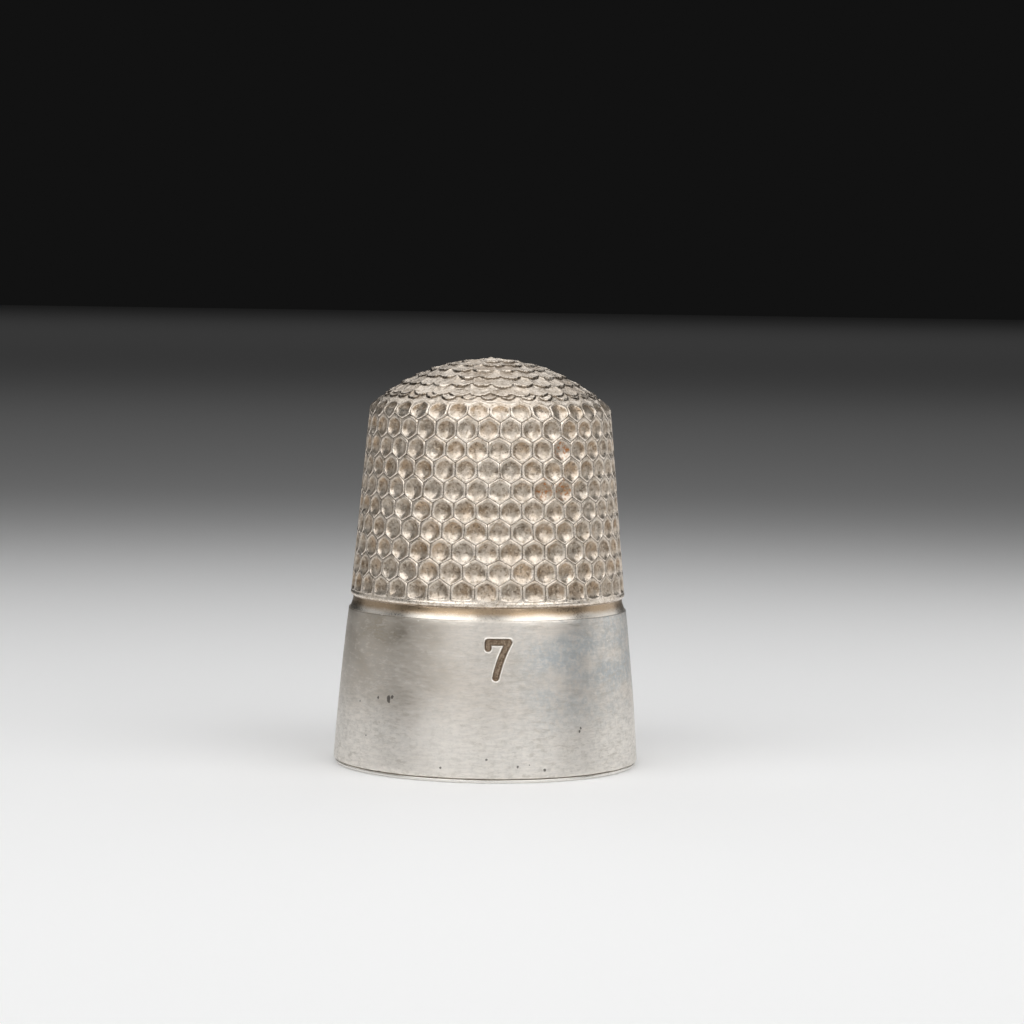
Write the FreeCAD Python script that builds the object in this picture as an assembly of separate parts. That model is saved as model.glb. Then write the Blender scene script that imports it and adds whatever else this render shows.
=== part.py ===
"""A silver thimble with a steel core, built from eight separate pieces.

Units are millimetres.  The origin is the centre of the open rim's plane, +Z runs up the
thimble's axis towards the crown, and the size numeral faces -Y.  Every layer of the wall
follows one envelope, a straight taper that turns over a small shoulder into a ball-shaped
crown, so each piece meets the next face to face.
"""
import FreeCAD, Part
import math
import os

os.makedirs("parts", exist_ok=True)

# The outer envelope: a straight taper that meets a ball.
TAPER = 0.0893                  # radius lost per millimetre of height
RADIUS_AT_BASE = 8.86           # the tapered side's radius if it ran down to the rim plane
BALL_RADIUS = 10.06
APEX_HEIGHT = 23.58
BALL_CENTRE = APEX_HEIGHT - BALL_RADIUS
SHOULDER_FILLET = 0.50
INNER_FILLET = 0.30

# How far each layer lies inside the outer envelope.
CORE_OUTSIDE = 0.40
CORE_INSIDE = 0.60
LINING_INSIDE = 0.75
SKIRT_OUTSIDE = 0.18            # the thinned foot of the side wall, where the band laps it

# The rim, from the bottom up: the lining's turned-out lip, a thin solder seam, the band.
LIP_RADIUS = 8.80
LIP_HEIGHT = 0.20
LIP_ROUND = 0.06
MOUTH_ROUND = 0.12
SEAM_TOP = 0.26
SEAM_RADIUS = 8.74

# The plain band.  Its outside is one shallow arc through three points.
BAND_FOOT_RADIUS = 8.88
BAND_MIDDLE = (8.50, 5.00)
BAND_TOP_RADIUS = 8.08
BAND_TOP = 9.06
BAND_FOOT_ROUND = 0.06
LAP_BOTTOM = 8.00               # the side wall's foot reaches down inside the band to here

# The cove between the band and the dented side, and the smooth ridge above it.
NECK_HEIGHT = 9.60
NECK_TOP = 9.66
RIDGE_HEIGHT = 9.90
FILLET_FOOT_RADIUS = 8.045
FILLET_KNEE = (7.935, 9.22)     # the hollow of the cove is two straight flats
FILLET_TOP = 9.56

# The crown is a separate cap.  Angles are from the axis, seen from the ball's centre.
CAP_EDGE_ANGLE = 36.6
SIDE_EDGE_ANGLE = 38.8

# Dents.  The rows alternate by half a column.
COLUMNS = 36
ROWS_ON_TAPER = 9
FIRST_ROW_HEIGHT = 10.58
ROW_PITCH = 1.143
SIDE_DENT_RADIUS = 0.52
SIDE_DENT_DEPTH = 0.20
SHOULDER_ROW_HEIGHT = 20.80
SHOULDER_ROW_RADIUS = 6.93
SHOULDER_ROW_TILT = 25.0
SHOULDER_DENT_RADIUS = 0.48
SHOULDER_DENT_DEPTH = 0.24
CROWN_RINGS = 6
CROWN_FIRST_RING = 5.35
CROWN_RING_STEP = 0.82
CROWN_DENT_SPACING = 1.13
CROWN_DENT_RADIUS = 0.38
CROWN_DENT_DEPTH = 0.12
DENT_MARGIN = 0.03              # how far a dent's tool stands out of the wall
APEX_BUMP_RADIUS = 0.32
APEX_BUMP_HEIGHT = 0.08

# The stamped size numeral, a generic seven.
NUMERAL_CENTRE = 6.89
NUMERAL_HEIGHT = 2.35
NUMERAL_WIDTH = 1.55
NUMERAL_STROKE = 0.38
NUMERAL_DEPTH = 0.15
LEG_KNEE_SHARE = 0.25
LEG_FOOT_SHARE = -0.2

AXIS_START = FreeCAD.Vector(0, 0, 0)
UP = FreeCAD.Vector(0, 0, 1)
BELOW_RIM = -1.0                # tools that open the mouth start here


def side_radius(height, inset=0.0):
    """Radius of the tapered side at a height, moved in by the inset."""
    return RADIUS_AT_BASE - inset - TAPER * height


def point(radius, height):
    """A point of a section, which lies in the XZ plane."""
    return FreeCAD.Vector(radius, 0, height)


def revolved(edges):
    """The solid that a closed section makes when it turns about the thimble's axis."""
    face = Part.Face(Part.Wire(Part.__sortEdges__(edges)))
    return Part.Solid(face.revolve(AXIS_START, UP, 360))


def line(start, end):
    return Part.LineSegment(point(*start), point(*end)).toShape()


def arc(start, middle, end):
    return Part.Arc(point(*start), point(*middle), point(*end)).toShape()


def polygon(corners):
    """The straight edges of a closed section."""
    return [line(a, b) for a, b in zip(corners, corners[1:] + corners[:1])]


def ball_point(radius, angle):
    """A point of the crown's ball, as (radius, height), at an angle from the axis."""
    turn = math.radians(angle)
    return radius * math.sin(turn), BALL_CENTRE + radius * math.cos(turn)


def shoulder(inset, fillet):
    """The round between the inset taper and the inset ball.

    Gives its tangent point on the taper, its middle, its tangent point on the ball, and
    that last point's angle from the axis.
    """
    slant = math.sqrt(1 + TAPER ** 2)
    start = RADIUS_AT_BASE - inset - fillet * slant
    ball = BALL_RADIUS - inset - fillet
    b = start * TAPER + BALL_CENTRE
    c = start ** 2 + BALL_CENTRE ** 2 - ball ** 2
    height = (b + math.sqrt(b ** 2 - slant ** 2 * c)) / slant ** 2
    centre = (start - TAPER * height, height)
    turn_at_side = math.atan2(1, TAPER)
    turn_at_ball = math.atan2(centre[0], height - BALL_CENTRE)
    points = []
    for turn in (turn_at_side, (turn_at_side + turn_at_ball) / 2, turn_at_ball):
        points.append((centre[0] + fillet * math.sin(turn), height + fillet * math.cos(turn)))
    return points + [math.degrees(turn_at_ball)]


def ball_arc(radius, start_angle, end_angle):
    """An arc of the crown's ball, between two angles from the axis."""
    middle = (start_angle + end_angle) / 2
    return arc(*(ball_point(radius, angle) for angle in (start_angle, middle, end_angle)))


def layer_edges(inset, fillet, foot, end_angle):
    """The edges of one face of the wall, from a foot on the taper up to an angle."""
    side, middle, ball, angle = shoulder(inset, fillet)
    return [
        line(foot, side),
        arc(side, middle, ball),
        ball_arc(BALL_RADIUS - inset, angle, end_angle),
    ]


def envelope(inset, bottom, fillet):
    """Everything inside the envelope that lies the inset within the thimble's outside."""
    foot = (side_radius(bottom, inset), bottom)
    top = (0, APEX_HEIGHT - inset)
    return revolved(
        layer_edges(inset, fillet, foot, 0)
        + [line(top, (0, bottom)), line((0, bottom), foot)])


def ball_shell(inner, outer, start_angle, end_angle):
    """A band of the crown between two radii and two angles, as the edges of a section."""
    return [
        ball_arc(outer, start_angle, end_angle),
        line(ball_point(outer, end_angle), ball_point(inner, end_angle)),
        ball_arc(inner, end_angle, start_angle),
        line(ball_point(inner, start_angle), ball_point(outer, start_angle)),
    ]


def filleted_circle(solid, radius, height, fillet):
    """Round off the one circular edge that has this radius and height."""
    near = 0.001
    edges = [
        edge for edge in solid.Edges
        if not edge.Degenerated
        and isinstance(edge.Curve, Part.Circle)
        and abs(edge.Curve.Radius - radius) < near
        and abs(edge.Curve.Center.z - height) < near
    ]
    return solid.makeFillet(fillet, edges)


def dent(position, outward, radius, depth):
    """The tool for one bowl-shaped dent: part of a ball, open towards the outside."""
    ball = (radius ** 2 + depth ** 2) / (2 * depth)
    centre = position + outward * (ball - depth)
    brim = -math.degrees(math.asin((ball - depth - DENT_MARGIN) / ball))
    return Part.makeSphere(ball, centre, outward, -90, brim, 360)


def ring_of_dents(count, start_turn, radius, height, tilt, dent_radius, dent_depth):
    """Dents spaced evenly round the axis; tilt is how far they face up, in degrees."""
    rise = math.radians(tilt)
    tools = []
    for index in range(count):
        turn = math.radians(start_turn + 360.0 * index / count)
        position = FreeCAD.Vector(radius * math.cos(turn), radius * math.sin(turn), height)
        outward = FreeCAD.Vector(
            math.cos(rise) * math.cos(turn), math.cos(rise) * math.sin(turn), math.sin(rise))
        tools.append(dent(position, outward, dent_radius, dent_depth))
    return tools


def side_dents():
    """Ten rows of dents: nine on the taper and one that rides over the shoulder."""
    column = 360.0 / COLUMNS
    tilt = math.degrees(math.atan(TAPER))
    tools = []
    for row in range(ROWS_ON_TAPER):
        height = FIRST_ROW_HEIGHT + row * ROW_PITCH
        start = column * (0.0 if row % 2 else 0.5)
        tools += ring_of_dents(
            COLUMNS, start, side_radius(height), height, tilt, SIDE_DENT_RADIUS, SIDE_DENT_DEPTH)
    start = column * (0.0 if ROWS_ON_TAPER % 2 else 0.5)
    tools += ring_of_dents(
        COLUMNS, start, SHOULDER_ROW_RADIUS, SHOULDER_ROW_HEIGHT, SHOULDER_ROW_TILT,
        SHOULDER_DENT_RADIUS, SHOULDER_DENT_DEPTH)
    return tools


def crown_dents():
    """Rings of smaller dents on the crown, as many in each as its girth has room for."""
    tools = []
    for ring in range(CROWN_RINGS):
        radius = CROWN_FIRST_RING - ring * CROWN_RING_STEP
        angle = math.degrees(math.asin(radius / BALL_RADIUS))
        count = round(2 * math.pi * radius / CROWN_DENT_SPACING)
        height = ball_point(BALL_RADIUS, angle)[1]
        start = 180.0 / count * (ring % 2)
        tools += ring_of_dents(
            count, start, radius, height, 90 - angle, CROWN_DENT_RADIUS, CROWN_DENT_DEPTH)
    return tools


def crown_cap():
    """The dented crown, a separate cap with a small bump at its apex."""
    plain = revolved(ball_shell(BALL_RADIUS - CORE_OUTSIDE, BALL_RADIUS, 0, CAP_EDGE_ANGLE))
    ball = (APEX_BUMP_RADIUS ** 2 + APEX_BUMP_HEIGHT ** 2) / (2 * APEX_BUMP_HEIGHT)
    top = APEX_HEIGHT + APEX_BUMP_HEIGHT
    bump = Part.makeSphere(ball, FreeCAD.Vector(0, 0, top - ball))
    reach = Part.makeCylinder(
        APEX_BUMP_RADIUS, 2 * APEX_BUMP_HEIGHT, FreeCAD.Vector(0, 0, APEX_HEIGHT - APEX_BUMP_HEIGHT))
    return plain.fuse(bump.common(reach)).cut(crown_dents())


def crown_solder():
    """The ring of solder that joins the cap to the side wall."""
    return revolved(ball_shell(
        BALL_RADIUS - CORE_OUTSIDE, BALL_RADIUS, CAP_EDGE_ANGLE, SIDE_EDGE_ANGLE))


def side_wall():
    """The dented side, from its thin foot inside the band to its turned-in top edge."""
    inner_foot = (side_radius(LAP_BOTTOM, CORE_OUTSIDE), LAP_BOTTOM)
    outer_foot = (side_radius(LAP_BOTTOM, SKIRT_OUTSIDE), LAP_BOTTOM)
    neck = (side_radius(NECK_HEIGHT, SKIRT_OUTSIDE), NECK_HEIGHT)
    bend = (side_radius(NECK_TOP, SKIRT_OUTSIDE / 2), NECK_TOP)
    ridge = (side_radius(RIDGE_HEIGHT), RIDGE_HEIGHT)
    top_edge = line(
        ball_point(BALL_RADIUS - CORE_OUTSIDE, SIDE_EDGE_ANGLE),
        ball_point(BALL_RADIUS, SIDE_EDGE_ANGLE))
    plain = revolved(
        layer_edges(CORE_OUTSIDE, INNER_FILLET, inner_foot, SIDE_EDGE_ANGLE)
        + [top_edge]
        + layer_edges(0.0, SHOULDER_FILLET, ridge, SIDE_EDGE_ANGLE)
        + [arc(neck, bend, ridge), line(outer_foot, neck), line(inner_foot, outer_foot)])
    return plain.cut(side_dents())


def band_outside(inset, bottom, top):
    """Everything inside the band's outer surface, moved in by the inset."""
    foot = (BAND_FOOT_RADIUS - inset, bottom)
    middle = (BAND_MIDDLE[0] - inset, BAND_MIDDLE[1])
    head = (BAND_TOP_RADIUS - inset, top)
    return revolved([
        line((0, bottom), foot),
        arc(foot, middle, head),
        line(head, (0, top)),
        line((0, top), (0, bottom)),
    ])


def stroke(start, end):
    """One straight stroke of the numeral, with round ends, cutting in along +Y."""
    half = NUMERAL_STROKE / 2
    along = FreeCAD.Vector(end[0] - start[0], 0, end[1] - start[1])
    across = FreeCAD.Vector(-along.z, 0, along.x).normalize() * half
    front = FreeCAD.Vector(0, -BAND_FOOT_RADIUS - 1, 0)
    depth = FreeCAD.Vector(0, BAND_FOOT_RADIUS, 0)
    first = point(*start) + front
    last = point(*end) + front
    corners = [first + across, last + across, last - across, first - across]
    bar = Part.Face(Part.makePolygon(corners + corners[:1])).extrude(depth)
    ends = [Part.makeCylinder(half, depth.Length, place, depth) for place in (first, last)]
    return bar.fuse(ends)


def numeral():
    """The strokes of a seven: a short drop at the left, the top bar and the leg."""
    half = NUMERAL_STROKE / 2
    left = -NUMERAL_WIDTH / 2 + half
    right = NUMERAL_WIDTH / 2 - half
    top = NUMERAL_CENTRE + NUMERAL_HEIGHT / 2 - half
    bottom = NUMERAL_CENTRE - NUMERAL_HEIGHT / 2 + half
    drop = stroke((left, top - NUMERAL_STROKE), (left, top))
    bar = stroke((left, top), (right, top))
    leg_knee = (right * LEG_KNEE_SHARE, NUMERAL_CENTRE)
    leg_upper = stroke((right, top), leg_knee)
    leg_lower = stroke(leg_knee, (right * LEG_FOOT_SHARE, bottom))
    return drop.fuse([bar, leg_upper, leg_lower])


def band():
    """The plain flared band, lapped over the side wall's foot and stamped with its size."""
    body = band_outside(0.0, SEAM_TOP, BAND_TOP)
    body = filleted_circle(body, BAND_FOOT_RADIUS, SEAM_TOP, BAND_FOOT_ROUND)
    sunk = band_outside(0.0, SEAM_TOP, BAND_TOP).cut(
        band_outside(NUMERAL_DEPTH, SEAM_TOP, BAND_TOP))
    bore_foot = (side_radius(BELOW_RIM, CORE_OUTSIDE), BELOW_RIM)
    bore_head = (side_radius(LAP_BOTTOM, CORE_OUTSIDE), LAP_BOTTOM)
    lap_foot = (side_radius(LAP_BOTTOM, SKIRT_OUTSIDE), LAP_BOTTOM)
    lap_head = (side_radius(NECK_HEIGHT, SKIRT_OUTSIDE), NECK_HEIGHT)
    bore = revolved(polygon([
        (0, BELOW_RIM), bore_foot, bore_head, lap_foot, lap_head, (0, NECK_HEIGHT)]))
    return body.cut(bore).cut(sunk.common(numeral()))


def band_solder():
    """The fillet of solder in the cove, between the band's top edge and the neck."""
    foot = (FILLET_FOOT_RADIUS, BAND_TOP)
    inner = (side_radius(BAND_TOP, SKIRT_OUTSIDE), BAND_TOP)
    top = (side_radius(FILLET_TOP, SKIRT_OUTSIDE), FILLET_TOP)
    return revolved(polygon([inner, foot, FILLET_KNEE, top]))


def rim_solder():
    """The thin solder seam under the core and the band, set in a little from the face."""
    inner_bottom = (side_radius(LIP_HEIGHT, CORE_INSIDE), LIP_HEIGHT)
    inner_top = (side_radius(SEAM_TOP, CORE_INSIDE), SEAM_TOP)
    return revolved(polygon([
        inner_bottom, (SEAM_RADIUS, LIP_HEIGHT), (SEAM_RADIUS, SEAM_TOP), inner_top]))


def steel_core():
    """The drawn steel cup between the two silver layers."""
    cup = envelope(CORE_OUTSIDE, SEAM_TOP, INNER_FILLET)
    return cup.cut(envelope(CORE_INSIDE, BELOW_RIM, INNER_FILLET))


def inner_lining():
    """The silver lining cup, whose lip turns out under the wall and shows as the rim."""
    cup = envelope(CORE_INSIDE, LIP_HEIGHT, INNER_FILLET)
    lip = Part.makeCylinder(LIP_RADIUS, LIP_HEIGHT)
    lip = filleted_circle(lip, LIP_RADIUS, 0.0, LIP_ROUND)
    hollow = envelope(LINING_INSIDE, BELOW_RIM, INNER_FILLET)
    lining = cup.fuse(lip).cut(hollow).removeSplitter()
    return filleted_circle(lining, side_radius(0.0, LINING_INSIDE), 0.0, MOUTH_ROUND)


PIECES = {
    "crown_cap": crown_cap,
    "crown_solder": crown_solder,
    "side_wall": side_wall,
    "band": band,
    "band_solder": band_solder,
    "rim_solder": rim_solder,
    "steel_core": steel_core,
    "inner_lining": inner_lining,
}

for name, make in PIECES.items():
    shape = make()
    solids = shape.Solids
    print(name, "solids", len(solids), "valid", shape.isValid(), "volume", round(shape.Volume, 3))
    shape = solids[0] if len(solids) == 1 else shape
    shape.exportStep("parts/" + name + ".step")
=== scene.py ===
"""The looks of a worn silver thimble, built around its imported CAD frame.

Lengths in this script are millimetres until a mesh, light or camera is made, when they are
multiplied by MM.  Azimuth runs from the stamped numeral, which faces -Y, towards +X.
"""
import math
import random

import bmesh
import bpy
import numpy as np
from mathutils import Matrix, Vector, noise


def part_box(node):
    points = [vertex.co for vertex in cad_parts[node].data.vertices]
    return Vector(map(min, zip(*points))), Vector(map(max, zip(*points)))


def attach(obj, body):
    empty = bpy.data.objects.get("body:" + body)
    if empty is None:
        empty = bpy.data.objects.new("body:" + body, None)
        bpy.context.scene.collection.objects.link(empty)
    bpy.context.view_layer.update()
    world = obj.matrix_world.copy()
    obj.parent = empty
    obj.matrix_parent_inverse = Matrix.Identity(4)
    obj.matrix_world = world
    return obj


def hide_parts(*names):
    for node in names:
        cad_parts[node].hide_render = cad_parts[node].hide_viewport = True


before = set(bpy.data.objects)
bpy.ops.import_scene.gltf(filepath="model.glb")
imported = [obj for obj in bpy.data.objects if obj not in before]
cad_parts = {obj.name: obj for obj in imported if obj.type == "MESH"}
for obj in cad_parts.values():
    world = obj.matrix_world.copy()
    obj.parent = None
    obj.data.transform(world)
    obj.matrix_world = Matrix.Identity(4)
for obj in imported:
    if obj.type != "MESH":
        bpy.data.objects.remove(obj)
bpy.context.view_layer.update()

MM = 0.001

# ------------------------ the frame's sizes, in mm


def node_box(node):
    """A CAD node's lowest and highest corner, in millimetres."""
    low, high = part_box(node)
    return low / MM, high / MM


LIP_RADIUS = node_box("inner_lining")[1].x
LIP_HEIGHT = node_box("rim_solder")[0].z
SEAM_TOP = node_box("rim_solder")[1].z
SEAM_RADIUS = node_box("rim_solder")[1].x
BAND_FOOT_RADIUS = node_box("band")[1].x
BAND_TOP = node_box("band")[1].z
BUMP_TOP = node_box("crown_cap")[1].z
SIDE_FOOT = node_box("side_wall")[0].z

# The envelope that the whole wall follows, as in the CAD: a taper, a round and a ball.
TAPER = 0.0893
RADIUS_AT_BASE = 8.86
BALL = 10.06
BALL_CENTRE = BUMP_TOP - 0.08 - BALL
SHOULDER_ROUND = 0.50
CORE_OUTSIDE = 0.40
CORE_INSIDE = 0.60
LINING_INSIDE = 0.75
SKIRT_OUTSIDE = 0.18
CAP_EDGE = math.radians(36.6)
SIDE_EDGE = math.radians(38.8)

BAND_MIDDLE_RADIUS = 8.50
BAND_MIDDLE_HEIGHT = 5.00
BAND_TOP_RADIUS = 8.08
NECK_HEIGHT = 9.73
RIDGE_CREST = 9.93

# The dents of the side.
COLUMNS = 36
ROWS = 10
ROW_PITCH = 1.145
FIRST_ROW = 10.60
FLAT_FOOT = 0.48  # how far below its centre the first row is cut off, in pitches
DENT_DEPTH = 0.20
TOP_ROW_DEPTH = 0.62  # the top row's depth, as a share of the other rows'
DENT_RIM = 0.85  # the bowl's rim, as a share of the way to the cell's edge
LIP_CREST = 0.935
RIM_DROP = 0.010  # how far the rim lies below the crest
CREASE_DEPTH = 0.045
BARE_CREASE = 0.2  # a crease's depth where no dent lies beyond it, as a share
EDGE_FOLLOW = 0.26  # how far a bowl takes its cell's six-sided shape
FOOT_EDGE_FOLLOW = 0.50  # and in the first row
BOWL_SINK = 0.045  # how far a bowl lies below its cell's middle
BOWL_SINK_GAIN = 0.030  # and how much more in the top row
CORNER_SWAY = 0.035  # how unevenly the cells' corners lie, in half columns
CORNER_RISE = 0.022
TOP_DROOP = (-0.13, -0.01)
EDGE_RISE = 0.006
CENTRE_SWAY = 0.012
DENT_TILT = 0.035
DENT_LUMP = 0.030
DENT_LUMPS_PER_MM = 3.6
EDGE_STEPS = 4
RING_SHARES = (0.975, LIP_CREST, 0.89, DENT_RIM, 0.80, 0.73, 0.62, 0.47, 0.31, 0.15)
CELL_CORNERS = ((0, 2), (-1, 1), (-1, -1), (0, -2), (1, -1), (1, 1))   # half columns, thirds
OPEN_THIRDS = (-2, -1, 3 * ROWS - 2, 3 * ROWS - 1)  # the lattice's free lower and upper edges
RUSTY_DENTS = ((7, 3), (5, 3), (5, 2))  # row, columns round from the numeral
SHOULDER_STEPS = (0.3, 0.6, 0.85, 1.0)  # shares of the way from the top row to the edge
SHOULDER_LUMP = 0.05
# The painted shade under the ridge, as a share of the bowls' colour.
UNDER_RIDGE_SHADE = 0.6
PLAIN_TONE = 0.5  # the tarnish's tone away from the dents

# The dents of the crown, which lie like scales: each ring cuts into the ring outside it.
CROWN_RINGS = 6
CROWN_FIRST_RING = 5.74  # measured over the ball, from the apex
CROWN_RING_STEP = 0.93
STRAY_RING = 6.24
STRAY_SIZE = 0.66  # the stray dents' reach, as a share of a whole scale's
CROWN_SPACING = 1.13
SCALE_REACH = 0.67
SCALE_DEPTH = 0.11
SCALE_SKEW = 0.30  # how much deeper a scale is on its side towards the apex
SCALE_LENGTH_SHARE = 0.45  # how far a scale's hollow runs on into its neighbours' hollows
CREST_HEIGHT = 0.030
CREST_WIDTH = 0.05
SHOULDER_DROP = 0.07  # how far the plain shoulder lies below the outermost scales
WALL_WIDTH = 0.05
CROWN_LUMPS = ((0.030, 1.1, 2), (0.022, 4.5, 3), (0.015, 7.5, 12))  # height, per mm, seed
CROWN_COLUMNS = 660
CROWN_ROWS = 130
ROW_CROWDING = 0.92  # under 1, the rows lie closer at the crown's edge
PLAIN_APEX = 0.5  # the scales fade out this near the axis
BUMP_HEIGHT = 0.078
BUMP_WIDTH = 0.20

# The stamped numeral, a generic seven.
NUMERAL_CENTRE = 6.89
NUMERAL_HEIGHT = 2.35
NUMERAL_WIDTH = 1.55
NUMERAL_STROKE = 0.38
NUMERAL_DEPTH = 0.14
NUMERAL_WALL = 0.08
BURR_HEIGHT = 0.045
BURR_PLACE = 0.045  # how far outside the stroke the burr stands
BURR_WIDTH = 0.035

# The band's mesh, its rounded edges as (how far in, how far up or down), and its unevenness.
BAND_COLUMNS = 240
BAND_STEP = 0.30
FINE_STEP = 0.022
FINE_HALF_WIDTH = 1.20
FINE_HALF_HEIGHT = 1.5
BAND_FOOT_EDGE = 0.07
BAND_HEAD_EDGE = 0.09
FOOT_ROUND = ((0.07, 0.0), (0.03, 0.010), (0.005, 0.035))
HEAD_ROUND = ((-0.001, 0.055), (0.012, 0.022), (0.038, 0.004), (0.070, 0.0))
BAND_LUMPS = ((0.010, 0.35, 4), (0.004, 1.1, 5))
RAGGED_EDGE = ((0.016, 1.2, 6), (0.008, 5.0, 7))
NICK_AZIMUTH = -47.8
NICK_WIDTH = 0.9  # in degrees
NICK_DEPTH = 0.05
RING_POINTS = 288

# The lining's rounded lip and mouth.
LIP_ROUND = 0.07
MOUTH_ROUND = 0.12
LINING_CORNER = math.radians(41.8)
APEX_HOLE = 0.02

# Small dark dings in the band: how far round from the numeral, how high, how big.
BAND_MARKS = (
    (-6.62, 4.42, 0.16), (-6.38, 4.50, 0.10), (-7.45, 4.40, 0.10), (4.90, 2.75, 0.10),
    (4.98, 2.95, 0.07), (-0.60, 1.35, 0.07), (1.10, 0.95, 0.06), (-3.10, 0.80, 0.05),
)

# The camera, at the picture's angle.
CAMERA_DISTANCE = 190.0
CAMERA_HEIGHT = 27.9
CAMERA_AZIMUTH = math.radians(-4.55)
CAMERA_YAW = 0.0071
CAMERA_PITCH = 0.0697
CAMERA_ROLL = 0.0154
CAMERA_LENS = 114.85

rng = random.Random(9)

# ------------------------ the wall's outline

SLANT = math.sqrt(1 + TAPER ** 2)
TURN_SIDE = math.atan2(1, TAPER)


def round_centre():
    """Centre of the shoulder's round, as (radius, height)."""
    start = RADIUS_AT_BASE - SHOULDER_ROUND * SLANT
    ball = BALL - SHOULDER_ROUND
    b = start * TAPER + BALL_CENTRE
    c = start ** 2 + BALL_CENTRE ** 2 - ball ** 2
    height = (b + math.sqrt(b ** 2 - SLANT ** 2 * c)) / SLANT ** 2
    return start - TAPER * height, height


ROUND_R, ROUND_Z = round_centre()
TURN_BALL = math.atan2(ROUND_R, ROUND_Z - BALL_CENTRE)
S_ROUND = (ROUND_Z + SHOULDER_ROUND * math.cos(TURN_SIDE)) * SLANT
S_BALL = S_ROUND + SHOULDER_ROUND * (TURN_SIDE - TURN_BALL)


def s_of_turn(turn):
    """Distance along the outline at which the ball stands at this angle from the axis."""
    return S_BALL + BALL * (TURN_BALL - turn)


def outline(s):
    """Radius, height and the normal's angle from the axis, a distance s up the outline."""
    s = np.asarray(s, float)
    round_turn = TURN_SIDE - (s - S_ROUND) / SHOULDER_ROUND
    ball_turn = TURN_BALL - (s - S_BALL) / BALL
    on_side = s < S_ROUND
    on_round = (s >= S_ROUND) & (s < S_BALL)
    turn = np.where(on_side, TURN_SIDE, np.where(on_round, round_turn, ball_turn))
    radius = np.where(
        on_side, RADIUS_AT_BASE - TAPER * s / SLANT,
        np.where(on_round, ROUND_R + SHOULDER_ROUND * np.sin(turn), BALL * np.sin(turn)))
    height = np.where(
        on_side, s / SLANT,
        np.where(on_round, ROUND_Z + SHOULDER_ROUND * np.cos(turn),
                 BALL_CENTRE + BALL * np.cos(turn)))
    return radius, height, turn


def around(radius, azimuth, height):
    """Points at a radius, azimuth and height, as rows of x, y, z."""
    radius, azimuth, height = np.broadcast_arrays(radius, azimuth, height)
    return np.stack([radius * np.sin(azimuth), -radius * np.cos(azimuth), height], -1)


def on_outline(azimuth, s, lift):
    """Points on the outline, moved out along its normal by lift."""
    radius, height, turn = outline(s)
    return around(radius + lift * np.sin(turn), azimuth, height + lift * np.cos(turn))


def on_ball(radius, azimuth, turn):
    """Points at a radius from the crown's centre and an angle from the axis."""
    return around(radius * np.sin(turn), azimuth, BALL_CENTRE + radius * np.cos(turn))


def dome(radius, turns):
    """The same as an outline, in rows of (radius, height)."""
    return [(radius * math.sin(t), BALL_CENTRE + radius * math.cos(t)) for t in turns]


def full_turn(count):
    """Evenly spaced azimuths, all the way round."""
    return np.linspace(0, 2 * math.pi, count, endpoint=False)


def side_radius(height, inset=0.0):
    """The side's radius at a height, less an inset."""
    return RADIUS_AT_BASE - inset - TAPER * height


def held(value):
    """The value, kept between 0 and 1."""
    return min(1.0, max(0.0, value))


def smooth(value, low, high):
    """0 below low and 1 above high, with a soft step between."""
    share = np.clip((value - low) / (high - low), 0, 1)
    return share * share * (3 - 2 * share)


def rough(points, scale, seed):
    """Smooth noise from -1 to 1 at each point; scale is in lumps per millimetre."""
    shift = Vector((seed * 7.31, seed * 3.17, seed * 5.93))
    flat = points.reshape(-1, 3)
    values = [noise.noise(Vector(p) * scale + shift) for p in flat]
    return np.array(values).reshape(points.shape[:-1])


def lumps(points, layers):
    """Unevenness in layers of noise, each with its height, its scale and its seed."""
    return sum(height * rough(points, scale, seed) for height, scale, seed in layers)


# ------------------------ making pieces


def ring_faces(first, second):
    """Quads between two closed rings of vertex numbers."""
    count = len(first)
    return [
        (first[k], first[(k + 1) % count], second[(k + 1) % count], second[k])
        for k in range(count)
    ]


def fan_faces(ring, hub):
    """Triangles from a closed ring of vertex numbers to one vertex."""
    count = len(ring)
    return [(ring[k], ring[(k + 1) % count], hub) for k in range(count)]


def numbered_rings(total, count):
    """The vertex numbers of rings that follow one another, count to a ring."""
    return [list(range(k * count, (k + 1) * count)) for k in range(total)]


def wrapped_faces(rings):
    """Quads from each ring to the next, and from the last ring back to the first."""
    faces = []
    for index, ring in enumerate(rings):
        faces += ring_faces(ring, rings[(index + 1) % len(rings)])
    return faces


def make_piece(node, material, points, faces, sharp, values=None, cuts=()):
    """A closed mesh that rides on the root body and stands for a CAD node.

    Each row of values may stop short of the last points, which are plain.  Edges between the
    vertices in cuts are sharp, as are those that bend more than sharp, in degrees.
    """
    name = node + "_looks"
    mesh = bpy.data.meshes.new(name)
    mesh.from_pydata((points * MM).tolist(), [], faces)
    for key, data in (values or {}).items():
        rest = np.full(len(points) - np.size(data), PLAIN_TONE if key == "tone" else 0.0)
        attribute = mesh.attributes.new(key, "FLOAT", "POINT")
        attribute.data.foreach_set("value", np.append(data, rest).astype(np.float32))
    editor = bmesh.new()
    editor.from_mesh(mesh)
    bmesh.ops.recalc_face_normals(editor, faces=editor.faces)
    editor.to_mesh(mesh)
    editor.free()
    mesh.shade_smooth()
    mesh.set_sharp_from_angle(angle=math.radians(sharp))
    cut = set(cuts)
    for edge in mesh.edges:
        if cut.issuperset(edge.vertices):
            edge.use_edge_sharp = True
    mesh.materials.append(material)
    piece = bpy.data.objects.new(name, mesh)
    bpy.context.scene.collection.objects.link(piece)
    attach(piece, "root")
    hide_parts(node)


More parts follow.
